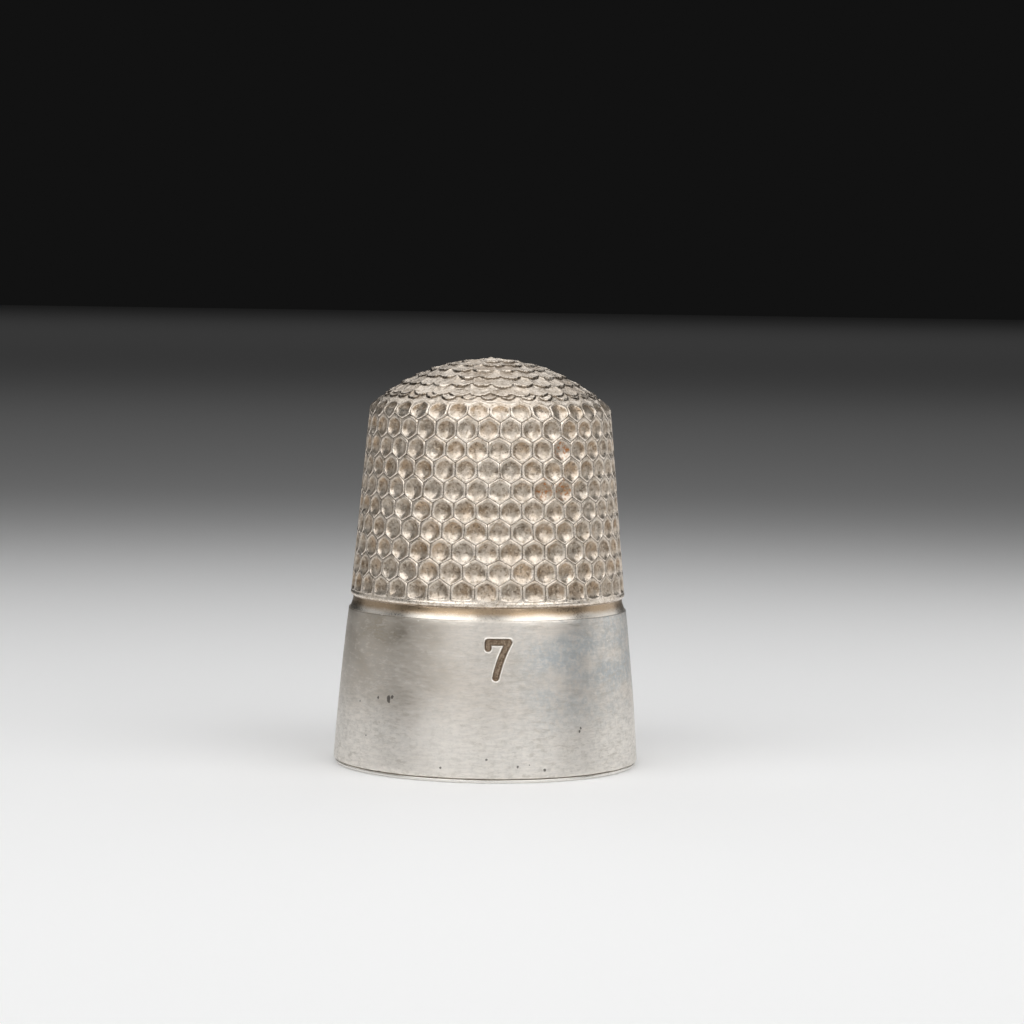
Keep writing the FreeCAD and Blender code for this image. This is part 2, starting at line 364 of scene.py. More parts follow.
def turned_piece(node, material, section, count, sharp, uneven, wobble):
    """A piece turned about the axis from a closed section of (radius, height).

    The places of the section that are in uneven are set in by a share of their radius, and
    vary by another, with noise of a scale and a seed: wobble holds the four.
    """
    inset, amount, scale, seed = wobble
    azimuths = full_turn(count)
    rings = []
    for place, (radius, height) in enumerate(section):
        ring = around(radius, azimuths, height)
        if place in uneven:
            share = 1 - inset + amount * rough(ring, scale, seed)
            ring = ring * np.stack([share, share, np.ones(count)], -1)
        rings.append(ring)
    faces = wrapped_faces(numbered_rings(len(rings), count))
    make_piece(node, material, np.concatenate(rings), faces, sharp)


# ------------------------ materials


class Nodes:
    """A short way to write a node tree."""

    def __init__(self, name):
        self.material = bpy.data.materials.new(name)
        self.material.use_nodes = True
        self.tree = self.material.node_tree
        self.shader = self.tree.nodes["Principled BSDF"]
        self.coords = self.tree.nodes.new("ShaderNodeTexCoord").outputs["Object"]

    def add(self, kind, links=None, **settings):
        """A new node; each input is linked to a socket or set to a value."""
        node = self.tree.nodes.new(kind)
        for key, value in settings.items():
            setattr(node, key, value)
        for key, value in (links or {}).items():
            if isinstance(value, bpy.types.NodeSocket):
                self.tree.links.new(value, node.inputs[key])
            else:
                node.inputs[key].default_value = value
        return node

    def math(self, operation, *values):
        """A sum on sockets or numbers."""
        node = self.add("ShaderNodeMath", dict(enumerate(values)), operation=operation)
        return node.outputs[0]

    def span(self, value, low, high, to_low=0.0, to_high=1.0):
        """Maps value from low..high to to_low..to_high with a soft step, held at both ends."""
        links = {"Value": value, "From Min": low, "From Max": high,
                 "To Min": to_low, "To Max": to_high}
        node = self.add("ShaderNodeMapRange", links, interpolation_type="SMOOTHSTEP")
        return node.outputs["Result"]

    def noise(self, place, scale, detail=2.0, roughness=0.5, distortion=0.0):
        """Noise from about 0 to 1; place is in metres and scale in lumps per millimetre."""
        links = {"Vector": place, "Scale": scale / MM, "Detail": detail,
                 "Roughness": roughness, "Distortion": distortion}
        return self.add("ShaderNodeTexNoise", links).outputs[0]

    def stretched(self, place, x, y, z):
        """Coordinates multiplied along each axis, so that noise runs long where it is low."""
        links = {"Vector": place, "Scale": (x, y, z)}
        return self.add("ShaderNodeMapping", links).outputs["Vector"]

    def mix(self, share, first, second):
        """A colour between two colours, each a socket or three numbers."""
        ends = [c if isinstance(c, bpy.types.NodeSocket) else (*c, 1.0) for c in (first, second)]
        links = {0: share, 6: ends[0], 7: ends[1]}
        return self.add("ShaderNodeMix", links, data_type="RGBA").outputs[2]

    def attribute(self, name):
        """One of the mesh's own values at each point."""
        return self.add("ShaderNodeAttribute", attribute_name=name).outputs["Fac"]

    def unrolled(self):
        """Coordinates on the unrolled wall, in metres: round the axis, then up it."""
        parts = self.add("ShaderNodeSeparateXYZ", {0: self.coords})
        back = self.math("MULTIPLY", parts.outputs["Y"], -1.0)
        turn = self.math("ARCTAN2", parts.outputs["X"], back)
        wide = self.math("MULTIPLY", turn, BAND_MIDDLE_RADIUS * MM)
        joined = self.add("ShaderNodeCombineXYZ", {0: wide, 1: parts.outputs["Z"]})
        return joined.outputs[0], wide, parts.outputs["Z"]

    def bump(self, height, distance, strength=1.0, before=None):
        """A bump whose full height is distance, in millimetres."""
        links = {"Height": height, "Distance": distance * MM, "Strength": strength}
        if before is not None:
            links["Normal"] = before
        return self.add("ShaderNodeBump", links).outputs["Normal"]

    def finish(self, colour, roughness, normal):
        """The finished material, a metal all over."""
        for name, socket in (("Base Color", colour), ("Roughness", roughness), ("Normal", normal)):
            self.tree.links.new(socket, self.shader.inputs[name])
        self.shader.inputs["Metallic"].default_value = 1.0
        return self.material


def dented_silver(name, land_gloss, bowl_gloss, lump):
    """Worn silver: bright rubbed lands, tarnished bowls, rusty stains and painted shade in the
    creases.

    The two gloss values are roughnesses, and lump is the height of the lumps in millimetres.
    """
    n = Nodes(name)
    bowl = n.attribute("bowl")
    tone = n.attribute("tone")
    rust = n.attribute("rust")
    broad = n.noise(n.coords, 0.5, 3.0, 0.6)
    mottle = n.noise(n.coords, 2.4, 4.0, 0.62)
    grain = n.noise(n.coords, 8.0, 3.0, 0.62)
    grime = n.noise(n.coords, 5.5, 5.0, 0.7)

    land = n.mix(n.span(mottle, 0.35, 0.7), (0.90, 0.81, 0.71), (0.67, 0.585, 0.49))
    land = n.mix(n.span(grime, 0.54, 0.64, 0.0, 0.7), land, (0.34, 0.26, 0.165))
    warm = n.mix(tone, (0.48, 0.345, 0.225), (0.26, 0.175, 0.10))
    cool = n.mix(n.span(mottle, 0.3, 0.7), (0.49, 0.425, 0.35), (0.25, 0.21, 0.165))
    hollow = n.mix(n.span(broad, 0.35, 0.65), warm, cool)
    hollow = n.mix(n.span(grime, 0.50, 0.62, 0.0, 0.80), hollow, (0.12, 0.08, 0.05))
    hollow = n.mix(n.span(grain, 0.55, 0.68, 0.0, 0.6), hollow, (0.78, 0.68, 0.55))
    # The bowl values hold tarnish, and also painted highlight and painted shade in the dents and
    # painted shade under the ridge.
    depth = n.math("MULTIPLY", bowl, n.span(mottle, 0.2, 0.75, 0.80, 1.0))
    clean = n.mix(depth, land, hollow)
    # Painted shade: the creases between the side's dents and the crescents beside the crown's scales
    # are painted dark.
    crease_shade = n.span(n.attribute("crease_shade"), 0.0, 0.75, 0.0, 0.94)
    clean = n.mix(crease_shade, clean, (0.115, 0.085, 0.058))
    stain = n.math("MULTIPLY", rust, n.span(grime, 0.50, 0.60))
    colour = n.mix(stain, clean, (0.42, 0.17, 0.055))

    worn = n.span(bowl, 0.0, 1.0, land_gloss, bowl_gloss)
    roughness = n.math("ADD", worn, n.span(grime, 0.3, 0.7, -0.06, 0.12))
    fine = n.bump(grain, 0.025, n.span(bowl, 0.0, 1.0, 0.25, 0.8))
    lumps = n.bump(mottle, lump, n.span(bowl, 0.0, 1.0, 0.15, 0.5), fine)
    return n.finish(colour, roughness, lumps)


def satin_silver():
    """The band: fine lines round it, blue-grey, brown and pale patches, pits, flecks and a painted
    reflection near its foot.
    """
    n = Nodes("satin_silver")
    flat, wide, high = n.unrolled()
    lines = n.noise(n.stretched(n.coords, 0.20, 0.20, 1.0), 7.5, 4.0, 0.7)
    long_lines = n.noise(n.stretched(n.coords, 0.06, 0.06, 1.0), 4.0, 3.0, 0.6)
    dashes = n.noise(n.stretched(n.coords, 0.32, 0.32, 1.0), 4.6, 5.0, 0.75, 0.3)
    cloud = n.noise(n.coords, 0.25, 4.0, 0.6)
    patch = n.noise(n.stretched(n.coords, 0.6, 0.6, 1.0), 0.55, 2.0, 0.5)
    mottle = n.noise(n.coords, 3.2, 5.0, 0.68)
    grain = n.noise(n.coords, 10.0, 2.0, 0.6)

    right = n.math("MULTIPLY", n.span(wide, 0.3 * MM, 3.5 * MM), n.span(high, 1.5 * MM, 6.0 * MM))
    left = n.math("MULTIPLY", n.span(wide, -1.0 * MM, -4.5 * MM), n.span(high, 2.5 * MM, 7.5 * MM))
    right = n.math("MULTIPLY", right, n.span(wide, 20.0 * MM, 11.0 * MM))
    left = n.math("MULTIPLY", left, n.span(wide, -20.0 * MM, -11.0 * MM))
    base = n.mix(n.span(cloud, 0.35, 0.65), (0.84, 0.775, 0.70), (0.75, 0.69, 0.62))
    # Painted reflection: the band is painted paler towards its foot, where it mirrors the pale
    # floor.
    base = n.mix(n.span(high, 5.5 * MM, 1.5 * MM, 0.0, 0.75), base, (0.97, 0.925, 0.86))
    cold = n.math("MULTIPLY", n.span(patch, 0.25, 0.65), n.math("ADD", right, 0.22))
    cold = n.math("MULTIPLY", cold, n.span(mottle, 0.35, 0.62, 0.3, 1.0))
    base = n.mix(cold, base, (0.50, 0.535, 0.55))
    dull = n.math("MULTIPLY", n.span(patch, 0.30, 0.60, 1.0, 0.55), left)
    base = n.mix(dull, base, (0.43, 0.375, 0.305))
    base = n.mix(n.span(lines, 0.38, 0.62, 0.0, 0.30), base, (0.50, 0.48, 0.45))
    marks = n.math("MULTIPLY", n.span(dashes, 0.52, 0.60), n.span(cloud, 0.35, 0.60, 0.05, 0.50))
    base = n.mix(marks, base, (0.52, 0.48, 0.42))
    base = n.mix(n.span(dashes, 0.46, 0.38, 0.0, 0.22), base, (0.96, 0.93, 0.88))
    base = n.mix(n.span(mottle, 0.50, 0.66, 0.0, 0.30), base, (0.55, 0.51, 0.45))

    pit = spots(n, flat, 1.1, 0.86, 0.04, 0.10)
    for place_x, place_z, size in BAND_MARKS:
        here = (place_x * MM, place_z * MM, 0.0)
        reach = n.add("ShaderNodeVectorMath", {0: flat, 1: here}, operation="DISTANCE")
        ragged = n.math("MULTIPLY", reach.outputs["Value"], n.span(mottle, 0.3, 0.7, 0.6, 1.6))
        pit = n.math("MAXIMUM", pit, n.math("LESS_THAN", ragged, size * MM))
    base = n.mix(n.math("MULTIPLY", pit, 0.85), base, (0.10, 0.09, 0.08))
    fleck = spots(n, n.stretched(flat, 0.45, 1.0, 1.0), 2.3, 0.88, 0.03, 0.09)
    base = n.mix(n.math("MULTIPLY", fleck, 0.6), base, (0.97, 0.95, 0.92))
    stamped = n.mix(n.span(grain, 0.35, 0.65), (0.17, 0.12, 0.08), (0.38, 0.295, 0.22))
    base = n.mix(n.span(n.attribute("sunk"), 0.15, 0.75), base, stamped)
    base = n.mix(n.span(n.attribute("burr"), 0.2, 0.8), base, (0.97, 0.93, 0.87))

    rough_base = n.span(patch, 0.3, 0.7, 0.37, 0.44)
    roughness = n.math("ADD", rough_base, n.span(lines, 0.3, 0.7, -0.05, 0.07))
    normal = n.bump(lines, 0.008, 0.7)
    normal = n.bump(long_lines, 0.005, 0.3, normal)
    normal = n.bump(dashes, 0.006, 0.5, normal)
    normal = n.bump(grain, 0.004, 0.5, normal)
    normal = n.bump(pit, -0.02, 0.6, normal)
    return n.finish(base, roughness, normal)


def spots(n, place, per_mm, rarity, smallest, largest):
    """Scattered round spots from 0 to 1, in about one cell in 1 / (1 - rarity)."""
    cells = n.add("ShaderNodeTexVoronoi", {"Vector": place, "Scale": per_mm / MM})
    chosen = n.add("ShaderNodeSeparateXYZ", {0: cells.outputs["Color"]})
    rare = n.math("GREATER_THAN", chosen.outputs[0], rarity)
    size = n.span(chosen.outputs[1], 0.0, 1.0, smallest, largest)
    return n.math("MULTIPLY", rare, n.math("LESS_THAN", cells.outputs["Distance"], size))


def cove_silver():
    """The solder in the cove: brown where it meets the ridge, paler towards its foot."""
    n = Nodes("silver_solder")
    flat, _, high = n.unrolled()
    mottle = n.noise(n.stretched(flat, 0.35, 1.0, 1.0), 1.6, 4.0, 0.6)
    grain = n.noise(n.coords, 9.0, 3.0, 0.6)
    level = n.math("ADD", high, n.math("MULTIPLY", n.math("SUBTRACT", mottle, 0.5), 0.35 * MM))
    upper = n.span(level, (BAND_TOP + 0.05) * MM, (BAND_TOP + 0.42) * MM)
    colour = n.mix(upper, (0.80, 0.745, 0.67), (0.43, 0.32, 0.215))
    roughness = n.span(grain, 0.3, 0.7, 0.26, 0.33)
    return n.finish(colour, roughness, n.bump(grain, 0.0015, 0.3))


def seam_silver():
    """Dark, dirty solder down in the rim's seam."""
    n = Nodes("seam_solder")
    mottle = n.noise(n.coords, 2.0, 4.0, 0.6)
    colour = n.mix(n.span(mottle, 0.4, 0.7), (0.22, 0.19, 0.16), (0.50, 0.45, 0.39))
    return n.finish(colour, n.span(mottle, 0.3, 0.7, 0.45, 0.60), n.bump(mottle, 0.02, 0.6))


def lining_silver():
    """Smooth drawn silver with faint rings and a little tarnish deep inside."""
    n = Nodes("lining_silver")
    flat, _, high = n.unrolled()
    rings = n.noise(n.stretched(flat, 0.04, 1.0, 1.0), 6.0, 3.0, 0.6)
    cloud = n.noise(n.coords, 0.5, 4.0, 0.6)
    deep = n.math("MULTIPLY", n.span(high, 2.0 * MM, 20.0 * MM), n.span(cloud, 0.35, 0.7))
    colour = n.mix(deep, (0.86, 0.84, 0.80), (0.52, 0.45, 0.36))
    roughness = n.span(rings, 0.3, 0.7, 0.22, 0.34)
    return n.finish(colour, roughness, n.bump(rings, 0.006, 0.6))


def core_steel():
    """Plain drawn steel with faint lines up its wall and specks of rust."""
    n = Nodes("core_steel")
    flat, _, _ = n.unrolled()
    lines = n.noise(n.stretched(flat, 1.0, 0.05, 1.0), 8.0, 3.0, 0.6)
    specks = n.noise(n.coords, 1.6, 4.0, 0.6)
    colour = n.mix(n.span(specks, 0.6, 0.72), (0.42, 0.41, 0.40), (0.24, 0.11, 0.05))
    return n.finish(colour, n.span(lines, 0.3, 0.7, 0.32, 0.50), n.bump(lines, 0.005, 0.6))


# ------------------------ the dented side


def corner_places():
    """Azimuth and distance up the outline of every corner of the six-sided cells.

    A key is (half columns round, thirds of a row up); neighbours share their corners.
    """
    places = {}
    half = math.pi / COLUMNS
    for row in range(ROWS):
        for column in range(COLUMNS):
            middle = 2 * column + (row + 1) % 2
            for side, third in CELL_CORNERS:
                key = ((middle - side) % (2 * COLUMNS), 3 * row + third)
                if key in places:
                    continue
                s = (FIRST_ROW * SLANT) + key[1] * ROW_PITCH * SLANT / 3
                azimuth = key[0] * half
                if key[1] < 0:
                    s = (FIRST_ROW - FLAT_FOOT * ROW_PITCH) * SLANT
                else:
                    azimuth += rng.gauss(0, CORNER_SWAY) * half
                    s += rng.gauss(0, CORNER_RISE)
                if key[1] > 3 * ROWS - 3:
                    s += rng.uniform(*TOP_DROOP)
                places[key] = (azimuth, s)
    return places


class Dent:
    """One dent's own uneven form, with x and y in millimetres from its cell's middle."""

    def __init__(self, row, edge, radius):
        low = min(y for _, y in edge)
        self.high = max(y for _, y in edge)
        up = row / (ROWS - 1)
        sink = BOWL_SINK + BOWL_SINK_GAIN * up
        self.x = rng.gauss(0, CENTRE_SWAY)
        self.y = (low + self.high) / 2 * 0.9 - sink + rng.gauss(0, CENTRE_SWAY)
        self.radius = DENT_RIM * math.pi * radius / COLUMNS * rng.uniform(0.95, 1.03)
        self.squash = min(1.0, (self.high - low) / (4 / 3 * ROW_PITCH))
        self.follow = EDGE_FOLLOW if row else FOOT_EDGE_FOLLOW
        self.depth = DENT_DEPTH * rng.uniform(0.82, 1.12)
        if row == ROWS - 1:
            self.depth *= TOP_ROW_DEPTH
        self.tilt = (rng.gauss(0, DENT_TILT), rng.gauss(0, DENT_TILT))
        self.floor = self.depth * rng.uniform(0.72, 1.15)
        self.clean_middle = rng.uniform(0.0, 0.9) * up
        self.tone = rng.random()
        self.seed = rng.random() * 50

    def place(self, x, y, share):
        """Where a point of the cell's edge comes to when it is drawn in to this share."""
        blend = held((1.0 - share) / (1.0 - DENT_RIM))
        reach = self.radius * min(1.0, share / DENT_RIM) / math.hypot(x - self.x, y - self.y)
        round_x = self.x + (x - self.x) * reach
        round_y = self.y + (y - self.y) * reach * self.squash
        x, y = x * share, y * share
        mix_x = round_x + (self.x * 0.5 + x - round_x) * self.follow
        mix_y = round_y + (self.y * (1 - share) + y - round_y) * self.follow
        return x + (mix_x - x) * blend, y + (mix_y - y) * blend

    def lift(self, x, y, share):
        """Height above the outline, over the crease, the lip's crest and the bowl."""
        if share >= LIP_CREST:
            lift = -CREASE_DEPTH * ((share - LIP_CREST) / (1 - LIP_CREST)) ** 1.6
        elif share >= DENT_RIM:
            lift = -RIM_DROP * ((LIP_CREST - share) / (LIP_CREST - DENT_RIM)) ** 2
        else:
            lift = -RIM_DROP - self.depth * (1 - (share / DENT_RIM) ** 2) ** 0.9
        lift = max(lift, -self.floor)
        lift += (self.tilt[0] * x + self.tilt[1] * y) * (1 - share ** 2)
        where = Vector((x * DENT_LUMPS_PER_MM, y * DENT_LUMPS_PER_MM, self.seed))
        return lift + DENT_LUMP * noise.noise(where) * (1 - share) ** 0.5

    def bowl_mix(self, y, share):
        """Tarnish in the bowl, rubbed off in places in its middle, with a painted highlight in its
        lower half and painted shade in the cell's upper part.
        """
        in_bowl = held((DENT_RIM + 0.02 - share) / 0.10)
        # Painted highlight: the lower half of the bowl is painted lighter, as the glint of the
        # overhead light there.
        painted_highlight = 0.65 * held((-y / self.high - 0.05) / 0.45)
        clean = self.clean_middle * max(0.0, 1 - share / 0.5)
        # Painted shade: the upper part of the cell, under the row above, is painted darker.
        painted_upper_shade = 0.45 * held(y / self.high / 0.8)
        return max(in_bowl * (1 - painted_highlight) * (1 - clean), painted_upper_shade)


class SideMesh:
    """Collects the points, faces and tarnish values of the dented side."""

    def __init__(self):
        self.places = corner_places()
        self.azimuths, self.distances, self.lifts = [], [], []
        self.values = {"bowl": [], "tone": [], "rust": [], "crease_shade": []}
        self.faces = []
        self.edges = {}
        self.corners = {}
        for key, place in self.places.items():
            bare = key[1] in OPEN_THIRDS
            lift = -CREASE_DEPTH * (BARE_CREASE if bare else 1.0)
            # Corners in the creases take full painted shade, and those on the free edges take none.
            self.corners[key] = self.add(*place, lift, crease_shade=0.0 if bare else 1.0)

    def add(self, azimuth, s, lift, bowl=0.0, tone=PLAIN_TONE, rust=0.0, crease_shade=0.0):
        """A new vertex, as its number."""
        self.azimuths.append(azimuth)
        self.distances.append(s)
        self.lifts.append(lift)
        for row, value in zip(self.values.values(), (bowl, tone, rust, crease_shade)):
            row.append(value)
        return len(self.azimuths) - 1

    def edge(self, first, second):
        """Vertex numbers from one corner up to but not including the other."""
        if (second, first) in self.edges:
            inner = self.edges[(second, first)][::-1]
        else:
            if (first, second) not in self.edges:
                self.edges[(first, second)] = self.new_edge(first, second)
            inner = self.edges[(first, second)]
        return [self.corners[first]] + inner

    def new_edge(self, first, second):
        """The vertices between two corners, along a crease or a free edge."""
        a, b = self.places[first], self.places[second]
        turn = math.remainder(b[0] - a[0], 2 * math.pi)
        flat = first[1] < 0 and second[1] < 0
        bare = first[1] in OPEN_THIRDS and second[1] in OPEN_THIRDS
        numbers = []
        for step in range(1, EDGE_STEPS):
            share = step / EDGE_STEPS
            s = a[1] + (b[1] - a[1]) * share + (0.0 if flat else rng.gauss(0, EDGE_RISE))
            lift = -CREASE_DEPTH * rng.uniform(0.7, 1.1) * (BARE_CREASE if bare else 1.0)
            # Painted shade along the creases, and none on the free edges.
            painted_shade = 0.0 if bare else rng.uniform(0.6, 1.0)
            numbers.append(self.add(a[0] + turn * share, s, lift, crease_shade=painted_shade))
        return numbers

    def ring_at(self, keys):
        """The whole ring of vertices through these corners."""
        numbers = []
        for index, key in enumerate(keys):
            numbers += self.edge(key, keys[(index + 1) % len(keys)])
        return numbers

    def cell(self, row, column):
        """One dent: rings of points from its creased edge down to the bottom of its bowl."""
        middle = 2 * column + (row + 1) % 2
        last = self.ring_at([((middle + side) % (2 * COLUMNS), 3 * row + third)
                             for side, third in CELL_CORNERS])
        azimuth = middle * math.pi / COLUMNS
        s = (FIRST_ROW + row * ROW_PITCH) * SLANT
        radius = float(outline(s)[0])
        edge = [
            (radius * math.remainder(self.azimuths[k] - azimuth, 2 * math.pi),
             self.distances[k] - s)
            for k in last
        ]
        dent = Dent(row, edge, radius)
        column_round = round(math.remainder(azimuth, 2 * math.pi) / (2 * math.pi / COLUMNS))
        rust = 1.0 if (row, column_round) in RUSTY_DENTS else 0.0
        for share in RING_SHARES:
            ring = []
            for point in edge:
                x, y = dent.place(*point, share)
                bowl = dent.bowl_mix(y, share)
                ring.append(self.add(azimuth + x / radius, s + y, dent.lift(x, y, share),
                                     bowl, dent.tone, rust * bowl))
            self.faces += ring_faces(last, ring)
            last = ring
        bottom = self.add(azimuth + dent.x / radius, s + dent.y, -min(dent.depth, dent.floor),
                          1.0, dent.tone, rust)
        self.faces += fan_faces(last, bottom)


def side_wall(material, scales):
    """The dented side: its cells, the shoulder above, the ridge and neck below, the back."""
    mesh = SideMesh()
    for row in range(ROWS):
        for column in range(COLUMNS):
            mesh.cell(row, column)
    halves = range(2 * COLUMNS)
    foot = mesh.ring_at([(k, -2 if k % 2 else -1) for k in halves])
    head = mesh.ring_at([(k, 3 * ROWS - (2 if k % 2 else 1)) for k in halves])
    azimuths, distances = np.array(mesh.azimuths), np.array(mesh.distances)
    points = on_outline(azimuths, distances, np.array(mesh.lifts))

    more = []
    for share in SHOULDER_STEPS:
        s = distances[head] + (s_of_turn(SIDE_EDGE) - distances[head]) * share
        scale_lift = crown_lift(azimuths[head], outline(s)[2], scales)[0]
        uneven = SHOULDER_LUMP * rough(on_outline(azimuths[head], s, 0.0), 1.4, 1)
        lift = uneven * (1 - share) + scale_lift * smooth(share, 0.0, 0.85)
        more.append(on_outline(azimuths[head], s, lift))
    more += [around(radius, azimuths[head], height) for radius, height in back_of_side()]
    more += [around(radius, azimuths[foot], height) for radius, height in ridge_section()]
    added = [[len(points) + k for k in ring] for ring in numbered_rings(len(more), len(head))]
    rings = [head] + added + [foot]
    for first, second in zip(rings, rings[1:]):
        mesh.faces += ring_faces(first, second)
    more = np.concatenate(more)
    # Painted shade: the neck and the ridge's underside take the bowls' colour, fading out towards
    # the crest.
    under_ridge_shade = UNDER_RIDGE_SHADE * (1 - smooth(more[:, 2], RIDGE_CREST - 0.18, RIDGE_CREST - 0.04))
    mesh.values["bowl"] = np.append(mesh.values["bowl"], under_ridge_shade)
    make_piece("side_wall", material, np.concatenate([points, more]),
               mesh.faces, 80.0, mesh.values, added[len(SHOULDER_STEPS) - 1])


def back_of_side():
    """The hidden back of the side wall, from its top edge down to its foot."""
    levels = ((ROUND_Z - 0.3, CORE_OUTSIDE), (15.0, CORE_OUTSIDE), (SIDE_FOOT, CORE_OUTSIDE),
              (SIDE_FOOT, SKIRT_OUTSIDE))
    return dome(BALL - CORE_OUTSIDE, (SIDE_EDGE, (SIDE_EDGE + TURN_BALL) / 2)) + [
        (side_radius(height, inset), height) for height, inset in levels]


def ridge_section():
    """The neck and the smooth ridge above it, from below, as (radius, height)."""
    neck = side_radius(NECK_HEIGHT, SKIRT_OUTSIDE)
    section = [(side_radius(9.3, SKIRT_OUTSIDE), 9.3), (neck, NECK_HEIGHT)]
    crest = side_radius(RIDGE_CREST) + 0.012
    foot = FIRST_ROW - FLAT_FOOT * ROW_PITCH
    for share in (0.12, 0.28, 0.45, 0.62, 0.8, 1.0):
        swell = math.sin(share * math.pi / 2)
        rise = 1 - math.cos(share * math.pi / 2)
        section.append((
            neck + (crest - neck) * swell,
            NECK_HEIGHT + (RIDGE_CREST - NECK_HEIGHT) * (0.25 * share + 0.75 * rise)))
    section.append((side_radius(foot - 0.05) + 0.004, foot - 0.05))
    return section


# ------------------------ the crown


def crown_scales():
    """Each ring's dents, from the outermost ring inwards, as rows of numbers.

    A row holds azimuths, angles from the axis, depths, reaches and tones.
    """
    arcs = [STRAY_RING] + [CROWN_FIRST_RING - ring * CROWN_RING_STEP for ring in range(CROWN_RINGS)]
    rings = []
    for arc in arcs:
        turn = arc / BALL
        count = round(2 * math.pi * BALL * math.sin(turn) / CROWN_SPACING)
        start = rng.random()
        size = STRAY_SIZE if arc == STRAY_RING else 1.0
        scales = []
        for index in range(count):
            azimuth = 2 * math.pi * (index + start + rng.gauss(0, 0.06)) / count
            tilt = turn + rng.gauss(0, 0.04) / BALL
            depth = SCALE_DEPTH * rng.uniform(0.8, 1.15) * size
            reach = SCALE_REACH * rng.uniform(0.94, 1.06) * size
            scales.append((azimuth, tilt, depth, reach, rng.random()))
        rings.append(np.array(scales).T)
    return rings


def crown_lift(azimuth, turn, rings):
    """Height above the ball, and the tarnish, tone and painted shadow there, at arrays of
    directions.

    A dark crescent of painted shadow lies beside each scale, on the lower scale that it cuts into.
    """
    azimuth, turn = np.broadcast_arrays(azimuth, turn)
    place = around(np.sin(turn), azimuth, np.cos(turn)) * BALL
    lift = np.full(turn.shape, -SHOULDER_DROP)
    bowl_mix = np.full(turn.shape, 0.30)
    tone = np.full(turn.shape, PLAIN_TONE)
    painted_shade = np.zeros(turn.shape)
    patchy = 0.45 + 0.55 * smooth(rough(place, 0.9, 11), -0.45, 0.15)
    for azimuths, tilts, depths, reaches, tones in rings:
        middle = around(np.sin(tilts), azimuths, np.cos(tilts)) * BALL
        gaps = np.linalg.norm(place[..., None, :] - middle, axis=-1)
        near = np.argmin(gaps / reaches, axis=-1)
        gap = np.take_along_axis(gaps, near[..., None], -1)[..., 0]
        reach = reaches[near]
        inward = (tilts[near] - turn) * BALL
        share = SCALE_LENGTH_SHARE
        out = ((1 - share) * gap ** 2 + share * inward ** 2) / reach ** 2
        hollow = -depths[near] * np.clip(1 - out, 0, 1) ** 0.8 * (1 + SCALE_SKEW * inward / reach)
        crest = CREST_HEIGHT * np.exp(-((gap - reach + CREST_WIDTH) / CREST_WIDTH) ** 2)
        facing_out = smooth(-inward / gap, 0.1, 0.85)
        wall = WALL_WIDTH * (2.5 - 1.5 * facing_out)
        inside = 1 - smooth(gap, reach - 0.01, reach + wall)
        drop = np.clip(-lift / SCALE_DEPTH, 0, 1)
        # Painted shadow: a crescent just outside each scale's edge, on its side away from the apex,
        # darker where the surface drops.
        beside = smooth(gap, reach - 0.01, reach + 0.01)
        beside *= 1 - smooth(gap, reach + 0.07, reach + 0.13)
        beside *= facing_out
        lift = lift + (hollow + crest - lift) * inside
        shade = 0.02 + (0.03 + 0.60 * tones[near]) * smooth(1 - out, 0.05, 0.6)
        bowl_mix = bowl_mix + (shade - bowl_mix) * inside
        tone = np.where(inside > 0.5, tones[near], tone)
        painted_shade = np.where(gap < reach - 0.03, 0, painted_shade)
        painted_shade = np.maximum(painted_shade, beside * smooth(drop, -0.1, 0.25) * patchy)
    off_axis = BALL * np.sin(turn)
    lift = (lift + lumps(place, CROWN_LUMPS)) * np.clip(off_axis / PLAIN_APEX, 0, 1)
    lift = lift + BUMP_HEIGHT * np.exp(-(off_axis / BUMP_WIDTH) ** 2)
    return lift, bowl_mix, tone, painted_shade


def crown_net(azimuths, turns, scales):
    """The crown's outside as a net of points, and its silver's values at them."""
    azimuth, turn = np.meshgrid(azimuths, turns)
    lift, bowl, tone, painted_shade = crown_lift(azimuth, turn, scales)
    points = on_ball(BALL + lift, azimuth, turn).reshape(-1, 3)
    return points, {"bowl": bowl, "tone": tone, "crease_shade": painted_shade}


def crown_cap(material, scales):
    """The crown, a fine net of points from its edge up to the bump at its apex."""
    azimuths = full_turn(CROWN_COLUMNS)
    turns = CAP_EDGE * (1 - np.linspace(0, 1, CROWN_ROWS + 1)[:-1]) ** ROW_CROWDING
    outside, values = crown_net(azimuths, turns, scales)
    inner = BALL - CORE_OUTSIDE
    points = np.concatenate([
        outside, [[0, 0, BALL_CENTRE + BALL + BUMP_HEIGHT]],
        on_ball(inner, azimuths, CAP_EDGE), on_ball(inner, azimuths, CAP_EDGE / 2),
        [[0, 0, BALL_CENTRE + inner]]])
    apex = len(outside)
    rings = numbered_rings(CROWN_ROWS, CROWN_COLUMNS)
    back_ring, middle_ring = [[k + apex + 1 for k in ring] for ring in rings[:2]]
    faces = fan_faces(rings[-1], apex) + fan_faces(middle_ring[::-1], len(points) - 1)
    stack = [middle_ring, back_ring] + rings
    for first, second in zip(stack, stack[1:]):
        faces += ring_faces(first, second)
    make_piece("crown_cap", material, points, faces, 80.0, values, rings[0])


